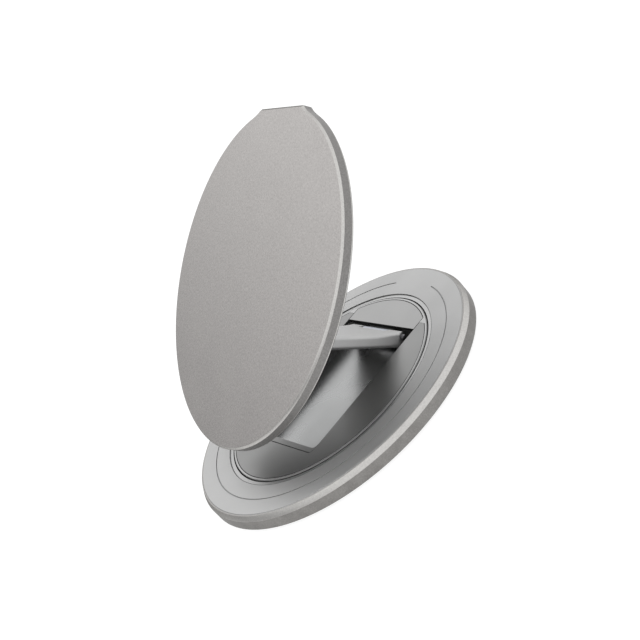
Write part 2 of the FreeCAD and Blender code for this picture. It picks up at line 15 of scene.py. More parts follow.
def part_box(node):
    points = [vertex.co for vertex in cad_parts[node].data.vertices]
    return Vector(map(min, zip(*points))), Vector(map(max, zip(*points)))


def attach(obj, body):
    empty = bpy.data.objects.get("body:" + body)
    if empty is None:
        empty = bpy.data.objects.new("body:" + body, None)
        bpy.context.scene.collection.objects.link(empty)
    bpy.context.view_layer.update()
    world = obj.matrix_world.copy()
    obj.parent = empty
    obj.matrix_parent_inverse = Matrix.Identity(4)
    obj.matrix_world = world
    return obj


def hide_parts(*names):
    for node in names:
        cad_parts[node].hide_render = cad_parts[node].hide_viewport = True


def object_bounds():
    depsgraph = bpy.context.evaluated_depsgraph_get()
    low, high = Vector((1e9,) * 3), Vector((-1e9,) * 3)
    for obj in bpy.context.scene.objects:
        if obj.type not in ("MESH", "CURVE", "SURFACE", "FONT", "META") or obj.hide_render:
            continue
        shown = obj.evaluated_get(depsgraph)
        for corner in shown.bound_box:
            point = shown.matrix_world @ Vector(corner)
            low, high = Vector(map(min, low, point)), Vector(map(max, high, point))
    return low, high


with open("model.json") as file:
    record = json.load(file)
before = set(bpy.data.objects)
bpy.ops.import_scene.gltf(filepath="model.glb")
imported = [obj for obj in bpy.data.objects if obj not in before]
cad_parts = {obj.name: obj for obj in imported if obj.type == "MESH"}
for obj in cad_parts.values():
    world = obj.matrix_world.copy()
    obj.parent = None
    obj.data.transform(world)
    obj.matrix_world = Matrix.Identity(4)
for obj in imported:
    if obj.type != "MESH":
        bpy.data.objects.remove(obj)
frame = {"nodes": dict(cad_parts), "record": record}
CAD_LOW, CAD_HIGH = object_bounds()

MM = 0.001
Colour = tuple[float, float, float]
log = logging.getLogger("stand")


class Body(Enum):
    """Bodies of the stand that pieces ride on."""

    BASE = "base"
    ROTOR = "rotor"
    ARM = "arm"
    PLATE = "plate"


class Slot(Enum):
    """Material slots of the record that the pieces take."""

    BLASTED = "blasted_aluminium"
    BRIGHT = "bright_edge"
    SATIN = "satin_steel"
    POLISHED = "polished_steel"
    HINGE = "hinge_steel"
    ARM = "arm_metal"
    DARK = "dark_sheet"
    PAD = "pad_rubber"


@dataclass(frozen=True)
class Finish(ABC):
    """Base of all finishes: a name, a colour and a mean roughness."""

    name: str
    colour: Colour
    roughness: float

    def material(self) -> bpy.types.Material:
        """Makes the finish's material, or finds it if it was made before.

        Returns:
            The material with its nodes.
        """
        name = self.name + "_finish"
        found = bpy.data.materials.get(name)
        if found is not None:
            return found
        made = bpy.data.materials.new(name)
        made.use_nodes = True
        tree = made.node_tree
        tree.nodes.clear()
        shader = tree.nodes.new("ShaderNodeBsdfPrincipled")
        output = tree.nodes.new("ShaderNodeOutputMaterial")
        tree.links.new(shader.outputs["BSDF"], output.inputs["Surface"])
        self.dress(NodeTools(tree), shader)
        return made

    @abstractmethod
    def dress(self, tools: "NodeTools", shader: bpy.types.Node) -> None:
        """Sets the shader's sockets and links its textures.

        Args:
            tools: Shortcuts for the material's nodes.
            shader: The Principled BSDF to dress.
        """


class NodeTools:
    """Shortcuts that add the nodes which several finishes share."""

    NOISE_LOW = 0.3
    NOISE_HIGH = 0.7

    def __init__(self, tree: bpy.types.NodeTree) -> None:
        """Starts from Object coordinates, which are in metres in the stand's frame."""
        self.tree = tree
        self.coordinates = tree.nodes.new("ShaderNodeTexCoord").outputs["Object"]

    def noise(self, grain_mm: float, detail: float = 2.0) -> bpy.types.NodeSocket:
        """Adds a noise texture.

        Args:
            grain_mm: Size of one grain.
            detail: Octaves of finer noise.

        Returns:
            The noise's factor, from 0 to 1.
        """
        node = self.tree.nodes.new("ShaderNodeTexNoise")
        node.inputs["Scale"].default_value = 1.0 / (grain_mm * MM)
        node.inputs["Detail"].default_value = detail
        self.tree.links.new(self.coordinates, node.inputs["Vector"])
        return node.outputs["Fac"]

    def blend(
        self, first: bpy.types.NodeSocket, second: bpy.types.NodeSocket, share: float
    ) -> bpy.types.NodeSocket:
        """Mixes two factors.

        Args:
            first: Factor that counts alone at a share of 0.
            second: Factor that counts alone at a share of 1.
            share: Share of the second.

        Returns:
            The mixed factor.
        """
        node = self.tree.nodes.new("ShaderNodeMix")
        node.inputs["Factor"].default_value = share
        self.tree.links.new(first, node.inputs["A"])
        self.tree.links.new(second, node.inputs["B"])
        return node.outputs["Result"]

    def spread(self, factor: bpy.types.NodeSocket, low: float, high: float) -> bpy.types.NodeSocket:
        """Maps the middle of a noise to a range.

        Args:
            factor: Noise factor.
            low: Value at the noise's usual low end.
            high: Value at its usual high end.

        Returns:
            The mapped value.
        """
        node = self.tree.nodes.new("ShaderNodeMapRange")
        node.inputs["From Min"].default_value = self.NOISE_LOW
        node.inputs["From Max"].default_value = self.NOISE_HIGH
        node.inputs["To Min"].default_value = low
        node.inputs["To Max"].default_value = high
        self.tree.links.new(factor, node.inputs["Value"])
        return node.outputs["Result"]

    def tint(self, factor: bpy.types.NodeSocket, dark: Colour, light: Colour) -> bpy.types.NodeSocket:
        """Mixes two colours by a factor.

        Args:
            factor: 0 for the dark colour, 1 for the light one.
            dark: First colour.
            light: Second colour.

        Returns:
            The mixed colour.
        """
        node = self.tree.nodes.new("ShaderNodeMix")
        node.data_type = "RGBA"
        node.inputs["A"].default_value = (*dark, 1.0)
        node.inputs["B"].default_value = (*light, 1.0)
        self.tree.links.new(factor, node.inputs["Factor"])
        return next(s for s in node.outputs if s.type == "RGBA")

    def bump(self, height: bpy.types.NodeSocket, depth_mm: float, strength: float) -> bpy.types.NodeSocket:
        """Adds a bump from a height.

        Args:
            height: Height factor.
            depth_mm: Depth that a factor of 1 stands for.
            strength: Share of the bump that shows.

        Returns:
            The bumped normal.
        """
        node = self.tree.nodes.new("ShaderNodeBump")
        node.inputs["Strength"].default_value = strength
        node.inputs["Distance"].default_value = depth_mm * MM
        self.tree.links.new(height, node.inputs["Height"])
        return node.outputs["Normal"]


def scaled(colour: Colour, share: float) -> Colour:
    """Colour times a share."""
    return tuple(c * share for c in colour)


@dataclass(frozen=True)
class Metal(Finish):
    """Metal with a fine grain in its height and colour, and a slow drift of its roughness.

    Attributes:
        grain_mm: Size of one grain.
        grain_depth_mm: Height of a grain.
        grain_strength: Share of that height that shows.
        grain_contrast: How far a grain's colour strays from the mean, as a share of it.
        drift_mm: Size of one patch of the drift.
        drift: How far the roughness strays from its mean.
        blotches: Share of the drift, rather than the grain, in the colour's noise.
        edge_tint: Tint of what is mirrored at a grazing angle.
    """

    grain_mm: float = 0.25
    grain_depth_mm: float = 0.004
    grain_strength: float = 0.5
    grain_contrast: float = 0.05
    drift_mm: float = 9.0
    drift: float = 0.03
    blotches: float = 0.0
    edge_tint: float = 1.0

    def dress(self, tools: NodeTools, shader: bpy.types.Node) -> None:
        """Links the grain to colour and normal, and the drift to roughness.

        Args:
            tools: Shortcuts for the material's nodes.
            shader: The Principled BSDF to dress.
        """
        links = tools.tree.links
        grain = tools.noise(self.grain_mm)
        drift = tools.noise(self.drift_mm)
        mottle = tools.spread(tools.blend(grain, drift, self.blotches), 0.0, 1.0)
        dark = scaled(self.colour, 1.0 - self.grain_contrast)
        light = scaled(self.colour, 1.0 + self.grain_contrast)
        roughness = tools.spread(drift, self.roughness - self.drift, self.roughness + self.drift)
        normal = tools.bump(grain, self.grain_depth_mm, self.grain_strength)
        shader.inputs["Metallic"].default_value = 1.0
        shader.inputs["Specular Tint"].default_value = (self.edge_tint,) * 3 + (1.0,)
        links.new(tools.tint(mottle, dark, light), shader.inputs["Base Color"])
        links.new(roughness, shader.inputs["Roughness"])
        links.new(normal, shader.inputs["Normal"])


@dataclass(frozen=True)
class Satin(Metal):
    """Metal with a grain so fine that it barely shows."""

    grain_mm: float = 0.12
    grain_strength: float = 0.1
    grain_contrast: float = 0.01


@dataclass(frozen=True)
class Moulded(Finish):
    """Plastic or rubber with a fine leathery grain.

    Attributes:
        grain_mm: Size of one grain.
        grain_depth_mm: Height of a grain.
        grain_strength: Share of that height that shows.
        grain_contrast: How far a grain's colour strays from the mean, as a share of it.
        grain_gloss: How far a grain's roughness strays from the mean.
    """

    grain_mm: float = 0.35
    grain_depth_mm: float = 0.01
    grain_strength: float = 0.4
    grain_contrast: float = 0.15
    grain_gloss: float = 0.05

    def dress(self, tools: NodeTools, shader: bpy.types.Node) -> None:
        """Links the grain to colour, roughness and normal.

        Args:
            tools: Shortcuts for the material's nodes.
            shader: The Principled BSDF to dress.
        """
        links = tools.tree.links
        grain = tools.noise(self.grain_mm)
        mottle = tools.spread(grain, 0.0, 1.0)
        dark = scaled(self.colour, 1.0 - self.grain_contrast)
        light = scaled(self.colour, 1.0 + self.grain_contrast)
        gloss = tools.spread(grain, self.roughness - self.grain_gloss, self.roughness + self.grain_gloss)
        normal = tools.bump(grain, self.grain_depth_mm, self.grain_strength)
        links.new(tools.tint(mottle, dark, light), shader.inputs["Base Color"])
        links.new(gloss, shader.inputs["Roughness"])
        links.new(normal, shader.inputs["Normal"])


PLATE_FACE = Metal(
    "blasted_plate", (0.477, 0.458, 0.446), 0.25, grain_mm=0.3, grain_strength=0.3, grain_contrast=0.115
)
# Outside wall of the base ring: the blasted aluminium made darker than the face, as painted shade. Its
# blotchy tone also stands in for the wall's mottled reflections, as painted reflection.
BASE_WALL_SHADE = Metal(
    "blasted_wall_painted_shade", (0.25, 0.243, 0.234), 0.42, grain_contrast=0.22, drift_mm=2.5, blotches=0.5,
    edge_tint=0.7,
)
# Side wall of the phone plate: the plate's blasted aluminium made darker, as painted shade.
PLATE_WALL_SHADE = Metal("blasted_plate_wall_painted_shade", (0.235, 0.229, 0.224), 0.42, grain_contrast=0.15)
BRIGHT_EDGE = Metal("bright_edge", (0.55, 0.54, 0.525), 0.36, grain_contrast=0.10, edge_tint=0.25)
RIM_FACE = Metal("blasted_rim", (0.53, 0.52, 0.507), 0.72, grain_contrast=0.10, edge_tint=0.7)
RING_FACE = Satin("satin_ring", (0.575, 0.575, 0.573), 0.55)
# Darker grey for the engraved groove, the step between rim and ring face, and the bore wall: painted shade in
# these hollows.
SHADED_GROOVE = Metal("groove_painted_shade", (0.38, 0.38, 0.38), 0.55)
# Near black for the seam band of the base ring, the lower faces and eased edges of the plates on the disc,
# and the knuckle's lower faces: painted shade in gaps and hollows.
RECESS_SHADE = Metal("painted_recess_shade", (0.10, 0.10, 0.10), 0.50)
# Darker grey for the faces of the bezel and the turning disc below their tops: painted shade in the gaps
# between them.
GAP_WALL_SHADE = Metal("gap_wall_painted_shade", (0.25, 0.25, 0.25), 0.50)
BEZEL = Satin("satin_bezel", (0.52, 0.52, 0.518), 0.36)
ROTOR = Satin("satin_rotor", (0.302, 0.302, 0.3), 0.31)
HINGE_COVER = Satin("satin_cover", (0.40, 0.40, 0.398), 0.34)
FLOOR_STEEL = Metal("polished_floor", (0.42, 0.425, 0.425), 0.28, grain_strength=0.04, grain_contrast=0.01)
HINGE_STEEL = Metal("hinge_steel", (0.47, 0.49, 0.54), 0.28, grain_mm=0.1, grain_strength=0.15)
# Hinge pins and washers, much darker than the hinge steel: painted shade of the dark pocket that they sit in.
SHADED_PIN_STEEL = Metal("pin_steel_painted_shade", (0.20, 0.20, 0.21), 0.35, grain_mm=0.1, grain_strength=0.15)
ARM_METAL = Metal(
    "arm_metal", (0.57, 0.57, 0.568), 0.62, grain_mm=0.15, grain_strength=0.25, grain_contrast=0.02
)
MAGNET_NICKEL = Metal("magnet_nickel", (0.60, 0.59, 0.56), 0.22)
SCREW_STEEL = Metal("screw_steel", (0.42, 0.42, 0.43), 0.35)
GLIDE_PLASTIC = Moulded("glide_plastic", (0.80, 0.80, 0.78), 0.45)
DARK_SHEET = Moulded("dark_sheet", (0.03, 0.03, 0.03), 0.6)
PAD_RUBBER = Moulded("pad_rubber", (0.05, 0.05, 0.05), 0.75)


@dataclass
class Surface:
    """Mesh arrays.

    Attributes:
        points: Points in millimetres, one per row.
        faces: Faces as tuples of point numbers.
        zones: Finish zone of each face.
    """

    points: np.ndarray
    faces: list[tuple[int, ...]]
    zones: list[int]

    def placed(self, turn: np.ndarray, shift: np.ndarray) -> "Surface":
        """Moves the surface.

        Args:
            turn: 3 by 3 rotation.
            shift: Translation in millimetres.

        Returns:
            The moved surface: each point p goes to turn p + shift.
        """
        return Surface(self.points @ turn.T + shift, self.faces, self.zones)


def band_faces(rows: int, columns: int) -> np.ndarray:
    """Quads between the rows of a grid that closes on itself along its columns.

    Args:
        rows: Rows of points.
        columns: Points in each row.

    Returns:
        One row of four point numbers per quad, from row i to row i + 1.
    """
    i, j = np.meshgrid(np.arange(rows - 1), np.arange(columns), indexing="ij")
    after = (j + 1) % columns
    row, next_row = i * columns, (i + 1) * columns
    quads = np.stack([row + j, row + after, next_row + after, next_row + j], -1)
    return quads.reshape(-1, 4)


def lathe(section: np.ndarray, zones: list[int], turns: np.ndarray) -> Surface:
    """Turns a closed section about Z.

    A section point (r, z) at turn a goes to (r cos a, r sin a, z). The section runs counter-clockwise in the
    (r, z) plane, so that faces point outwards.

    Args:
        section: Section points, without the first repeated.
        zones: Finish zone of the stretch from each point to the next.
        turns: Turn angles in radians over one full turn.

    Returns:
        The closed surface.
    """
    r, z = section[:, 0:1], section[:, 1:2]
    grid = np.stack([r * np.cos(turns), r * np.sin(turns), z + 0.0 * turns], -1)
    rows, columns = len(section), len(turns)
    quads = band_faces(rows + 1, columns) % (rows * columns)
    return Surface(grid.reshape(-1, 3), [tuple(q) for q in quads.tolist()], list(np.repeat(zones, columns)))


def engraved(surface: Surface, row: int, columns: np.ndarray, count: int, depth: float, zone: int) -> Surface:
    """Sinks a run of the band between two rows of a turned surface, as a groove with closed ends.

    Args:
        surface: A turned surface with count columns.
        row: First row of the band, which ends at row + 1.
        columns: The consecutive columns that are sunk.
        count: Columns in all.
        depth: Depth of the groove, along -Z.
        zone: Finish zone of the groove.

    Returns:
        The surface with the band's quads replaced by a floor, two walls and two end walls.
    """
    edges = np.append(columns, columns[-1] + 1) % count
    upper = np.stack([row * count + edges, (row + 1) * count + edges])
    start = len(surface.points)
    floor_points = surface.points[upper.reshape(-1)] - np.array([0.0, 0.0, depth])
    lower = start + np.arange(floor_points.shape[0]).reshape(2, -1)
    floor = np.stack([lower[0, :-1], lower[0, 1:], lower[1, 1:], lower[1, :-1]], -1)
    near = np.stack([upper[0, :-1], upper[0, 1:], lower[0, 1:], lower[0, :-1]], -1)
    far = np.stack([lower[1, :-1], lower[1, 1:], upper[1, 1:], upper[1, :-1]], -1)
    ends = np.array([
        [upper[0, 0], lower[0, 0], lower[1, 0], upper[1, 0]],
        [upper[1, -1], lower[1, -1], lower[0, -1], upper[0, -1]],
    ])
    sunk = set((row * count + columns).tolist())
    kept = [i for i in range(len(surface.faces)) if i not in sunk]
    added = [tuple(f) for f in np.concatenate([floor, near, far, ends]).tolist()]
    return Surface(
        np.concatenate([surface.points, floor_points]),
        [surface.faces[i] for i in kept] + added,
        [surface.zones[i] for i in kept] + [zone] * len(added),
    )


def inward_normals(outline: np.ndarray) -> np.ndarray:
    """Mitred inward normals of a closed counter-clockwise outline.

    With n1 and n2 the normals of the two edges at a point, the mitre is (n1 + n2) / (1 + n1 . n2), so that an
    inset of d moves both edges by d.

    Args:
        outline: Outline points.

    Returns:
        One normal per point.
    """
    edge = np.roll(outline, -1, 0) - outline
    edge /= np.linalg.norm(edge, axis=1, keepdims=True)
    after = np.stack([-edge[:, 1], edge[:, 0]], -1)
    before = np.roll(after, 1, 0)
    return (before + after) / (1.0 + np.sum(before * after, 1, keepdims=True))


def edged_plate(outline: np.ndarray, section: np.ndarray, zones: list[int], caps: tuple[int, int]) -> Surface:
    """Carries an edge section round a flat outline and closes it with two flat caps.

    A section point (inset, z) at outline point p with inward normal n goes to (p + inset n, z).

    Args:
        outline: Closed counter-clockwise outline.
        section: Edge section from the lower cap to the upper one.
        zones: Finish zone of each stretch of the section.
        caps: Finish zones of the lower and the upper cap.

    Returns:
        The closed surface.
    """
    normals = inward_normals(outline)
    flat = outline[None] + section[:, None, 0:1] * normals[None]
    height = np.broadcast_to(section[:, None, 1:2], flat.shape[:2] + (1,))
    count = len(outline)
    rows = len(section)
    quads = band_faces(rows, count)
    lower = tuple(range(count - 1, -1, -1))
    upper = tuple(range((rows - 1) * count, rows * count))
    return Surface(
        np.concatenate([flat, height], -1).reshape(-1, 3),
        [tuple(q) for q in quads.tolist()] + [lower, upper],
        list(np.repeat(zones, count)) + list(caps),
    )


def arc(radius: float, start_deg: float, end_deg: float, count: int) -> np.ndarray:
    """Points along an arc about the origin, ends included: radius (cos a, sin a) for evenly spaced a.

    Args:
        radius: Radius of the arc.
        start_deg: First angle.
        end_deg: Last angle.
        count: Number of points.

    Returns:
        The points, one per row.
    """
    a = np.radians(np.linspace(start_deg, end_deg, count))
    return radius * np.stack([np.cos(a), np.sin(a)], -1)


@dataclass(frozen=True)
class Zones:
    """Finishes of a node's copy beside that of its top faces.

    Attributes:
        sunk: Finish of all faces but the top ones, darker than the top as painted shade.
        top_mm: Depth below the highest face that counts as the top.
        lined: Whether the eased edges take the sunk finish, to show as fine dark lines of painted shade.
        inner: Finish of the top faces that lie near the Z axis, if they have one of their own.
        inner_mm: Distance from the Z axis within which all of such a face lies.
    """

    sunk: Finish
    top_mm: float = 0.01
    lined: bool = False
    inner: Finish | None = None
    inner_mm: float = 0.0


class Workshop:
    """Turns surfaces and node copies into pieces that ride on the stand's bodies."""

    EASE_SEGMENTS = 2
    EASE_ANGLE_DEG = 25.0
    MERGE_MM = 0.0005
    MERGE_ANGLE_DEG = 0.2
    FLAT_WEIGHT = 100
    TOP, SUNK, INNER = range(3)

    def piece(
        self, node: str, surface: Surface, finishes: list[Finish], body: Body, ease_mm: float
    ) -> None:
        """Makes a piece from a surface.

        Args:
            node: Node that it stands for.
            surface: Its mesh arrays.
            finishes: One finish per zone.
            body: Body that it rides on.
            ease_mm: Width of its eased edges.
        """
        mesh = bpy.data.meshes.new(node + "_finished")
        mesh.from_pydata((surface.points * MM).tolist(), [], surface.faces)
        for finish in finishes:
            mesh.materials.append(finish.material())
        mesh.polygons.foreach_set("material_index", np.array(surface.zones, np.int32))
        self.place(mesh, node, body, ease_mm)

    def eased_copy(
        self, node: str, finish: Finish, body: Body, ease_mm: float, zones: Zones | None = None
    ) -> None:
        """Copies a node's mesh with its triangles merged into whole faces, and eases its edges.

        Args:
            node: Node that is copied and stood for.
            finish: Its finish.
            body: Body that it rides on.
            ease_mm: Width of its eased edges.
            zones: Finishes of some of its faces, if they have their own.
        """
        mesh = bpy.data.meshes.new(node + "_finished")
        work = bmesh.new()
        work.from_mesh(frame["nodes"][node].data)
        bmesh.ops.remove_doubles(work, verts=work.verts, dist=self.MERGE_MM * MM)
        merge_angle = math.radians(self.MERGE_ANGLE_DEG)
        bmesh.ops.dissolve_limit(work, angle_limit=merge_angle, verts=work.verts, edges=work.edges)
        work.to_mesh(mesh)
        work.free()
        mesh.materials.clear()
        mesh.materials.append(finish.material())
        if zones is not None:
            self.divide(mesh, zones)
        made = self.place(mesh, node, body, ease_mm)
        if zones is not None and zones.lined:
            made.modifiers["eased_edges"].material = self.SUNK

    def divide(self, mesh: bpy.types.Mesh, zones: Zones) -> None:
        """Gives the faces below a mesh's top, and those of its top near the Z axis, their finishes.

        Args:
            mesh: A mesh in place, with the finish of its top.
            zones: The other finishes.
        """
        mesh.materials.append(zones.sunk.material())
        middles = np.empty(3 * len(mesh.polygons), np.float32)
        mesh.polygons.foreach_get("center", middles)
        height = middles[2::3]
        below = height < height.max() - zones.top_mm * MM
        index = np.where(below, self.SUNK, self.TOP).astype(np.int32)
        if zones.inner is not None:
            mesh.materials.append(zones.inner.material())
            index[~below & (self.reach(mesh) < zones.inner_mm * MM)] = self.INNER
        mesh.polygons.foreach_set("material_index", index)

    def reach(self, mesh: bpy.types.Mesh) -> np.ndarray:
        """Distance from the Z axis to the furthest corner of each face.

        Args:
            mesh: A mesh in place.

        Returns:
            One distance in metres per face.
        """
        points = np.empty(3 * len(mesh.vertices), np.float32)
        corners = np.empty(len(mesh.loops), np.int32)
        starts = np.empty(len(mesh.polygons), np.int32)
        mesh.vertices.foreach_get("co", points)
        mesh.loops.foreach_get("vertex_index", corners)
        mesh.polygons.foreach_get("loop_start", starts)
        return np.maximum.reduceat(np.hypot(points[0::3], points[1::3])[corners], starts)

    def place(
        self, mesh: bpy.types.Mesh, node: str, body: Body, ease_mm: float
    ) -> bpy.types.Object:
        """Puts a mesh into the scene as a piece with eased edges.

        Args:
            mesh: The finished mesh, in place.
            node: Node that it stands for.
            body: Body that it rides on.
            ease_mm: Width of its eased edges.

        Returns:
            The piece's object.
        """
        mesh.polygons.foreach_set("use_smooth", np.ones(len(mesh.polygons), bool))
        made = bpy.data.objects.new(mesh.name, mesh)
        bpy.context.scene.collection.objects.link(made)
        ease = made.modifiers.new("eased_edges", "BEVEL")
        ease.width = ease_mm * MM
        ease.segments = self.EASE_SEGMENTS
        ease.limit_method = "ANGLE"
        ease.angle_limit = math.radians(self.EASE_ANGLE_DEG)
        flat = made.modifiers.new("flat_faces", "WEIGHTED_NORMAL")
        flat.weight = self.FLAT_WEIGHT
        flat.keep_sharp = True
        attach(made, body.value)
        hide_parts(node)
        log.info("%s rides on %s", made.name, body.value)
        return made

    def dress_node(self, node: str, finish: Finish) -> None:
        """Gives a node that stays as it is a finish.

        Args:
            node: Name of the node.
            finish: Its finish.
        """
        materials = frame["nodes"][node].data.materials
        materials.clear()
        materials.append(finish.material())
        log.info("%s keeps its own form", node)


@dataclass
class BaseAssembly:
    """Base ring with its engraved circle, bezel, cover, pad and what is inside. Sizes are in millimetres."""

    radius: float = CAD_HIGH.y / MM
    bevel_width: float = 0.5
    bevel_height: float = 1.0
    rim_width: float = 0.35
    rim_drop: float = 0.1
    step_width: float = 0.12
    outer_wall: float = 1.5
    inner_wall: float = 1.0
    cover_inset: float = 1.0
    engraved_offset: float = 3.1
    engraved_width: float = 0.2
    engraved_depth: float = 0.15
    engraved_gap_deg: float = 26.6
    engraved_gap_at_deg: float = 90.0
    column_deg: float = 1.0
    pocket_top: float = 2.35
    seam_width: float = 0.1
    ease: float = 0.03

    def ring(self, shop: Workshop) -> None:
        """Builds the base ring: a section turned about Z, with the engraved circle sunk into its face.

        Args:
            shop: Workshop that makes the piece.
        """
        low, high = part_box("base_ring")
        foot, face = low.z / MM, high.z / MM
        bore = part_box("bezel_ring")[1].x / MM
        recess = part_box("base_cover")[1].z / MM
        line = bore + self.engraved_offset
        half_line = self.engraved_width / 2
        pocket = (bore + self.inner_wall, self.radius - self.outer_wall)
        bevel_foot = self.radius - self.bevel_width
        satin = bevel_foot - self.rim_width
        rim = face - self.rim_drop
        lip = self.radius - self.cover_inset
        outside = [
            (bore, recess), (pocket[0], recess), (pocket[0], self.pocket_top), (pocket[1], self.pocket_top),
            (pocket[1], recess), (lip, recess), (lip, foot), (self.radius, foot),
        ]
        edge = [(self.radius, face - self.bevel_height), (bevel_foot, rim), (satin + self.step_width, rim)]
        flat = [(satin, face), (line + half_line, face), (line - half_line, face)]
        inside = [(bore + self.seam_width, face), (bore, face)]
        section = np.array(outside + edge + flat + inside)
        # The wall zone is darker than the face, as painted shade. The groove zone, on the rim step, the
        # engraved circle and the bore wall, is painted shade. The seam zone is a narrow band of the face at
        # the bore, painted near black as the shade of the seam to the bezel.
        wall, bevel, rim_zone, top, groove, seam = range(6)
        zones = [wall] * len(outside) + [bevel, rim_zone, groove] + [top] * len(flat) + [seam, groove]
        gap = math.radians(self.engraved_gap_deg)
        gap_columns = round(self.engraved_gap_deg / self.column_deg)
        line_columns = round(360.0 / self.column_deg) - gap_columns
        start = math.radians(self.engraved_gap_at_deg) + gap / 2
        turns = start + np.concatenate([
            np.linspace(0.0, 2 * math.pi - gap, line_columns, endpoint=False),
            np.linspace(2 * math.pi - gap, 2 * math.pi, gap_columns, endpoint=False),
        ])
        turned = lathe(section, zones, turns)
        row = zones.index(top) + 1
        sunk = np.arange(line_columns)
        surface = engraved(turned, row, sunk, len(turns), self.engraved_depth, groove)
        finishes = [BASE_WALL_SHADE, BRIGHT_EDGE, RIM_FACE, RING_FACE, SHADED_GROOVE, RECESS_SHADE]
        shop.piece("base_ring", surface, finishes, Body.BASE, self.ease)

    def build(self, shop: Workshop) -> None:
        """Builds and dresses all pieces of the base.

        Args:
            shop: Workshop that makes the pieces.
        """
        self.ring(shop)
        # The bezel's faces below its top take the darker grey, as painted shade.
        shop.eased_copy("bezel_ring", BEZEL, Body.BASE, self.ease, Zones(GAP_WALL_SHADE))
        shop.eased_copy("base_pad", PAD_RUBBER, Body.BASE, self.ease)
        shop.dress_node("base_cover", SCREW_STEEL)
        shop.dress_node("base_magnets", MAGNET_NICKEL)
        shop.dress_node("base_yoke", SCREW_STEEL)
        shop.dress_node("glide_ring", GLIDE_PLASTIC)


@dataclass
class TurningDisc:
    """Disc with the arm's slot, the plates on its face and the base hinge. Sizes are in millimetres.

    Attributes:
        ease: Eased edges of the disc and the slot's floor.
        line: Eased edges of the plates on the disc, which show as dark lines of painted shade.
        hinge_ease: Eased edges of the hinge.
        knuckle_top: Depth of the knuckle's top; its faces below that are painted shade.
        strip_reach: Distance from the axis to the far end of the disc's darker strip, which is painted shade.
    """

    ease: float = 0.02
    line: float = 0.05
    hinge_ease: float = 0.03
    knuckle_top: float = 0.45
    strip_reach: float = 17.0

    def build(self, shop: Workshop) -> None:
        """Builds and dresses all pieces of the turning disc.

        Args:
            shop: Workshop that makes the pieces.
        """
        # Painted shade: the disc's faces below its top take dark grey, and its top near the axis takes the
        # darker plate grey. The plates' lower faces and eased edges and the knuckle's lower faces take near
        # black.
        disc = Zones(GAP_WALL_SHADE, inner=ROTOR, inner_mm=self.strip_reach)
        lined = Zones(RECESS_SHADE, lined=True)
        knuckle = Zones(RECESS_SHADE, top_mm=self.knuckle_top)
        ease = self.hinge_ease
        shop.eased_copy("rotor_disc", BEZEL, Body.ROTOR, self.ease, disc)
        shop.eased_copy("rotor_face_plate", ROTOR, Body.ROTOR, self.line, lined)
        shop.eased_copy("hinge_cover", HINGE_COVER, Body.ROTOR, self.line, lined)
        shop.eased_copy("slot_floor_plate", FLOOR_STEEL, Body.ROTOR, self.ease)
        shop.eased_copy("base_hinge_knuckle", HINGE_STEEL, Body.ROTOR, ease, knuckle)
        shop.eased_copy("base_hinge_pin", SHADED_PIN_STEEL, Body.ROTOR, ease)
        shop.dress_node("base_hinge_washers", SHADED_PIN_STEEL)
        shop.dress_node("base_leaf_screws", SCREW_STEEL)


@dataclass
class FoldingArm:
    """Flat arm between the two hinges. Sizes are in millimetres."""

    ease: float = 0.12

    def build(self, shop: Workshop) -> None:
        """Builds and dresses the arm."""
        shop.eased_copy("arm", ARM_METAL, Body.ARM, self.ease)


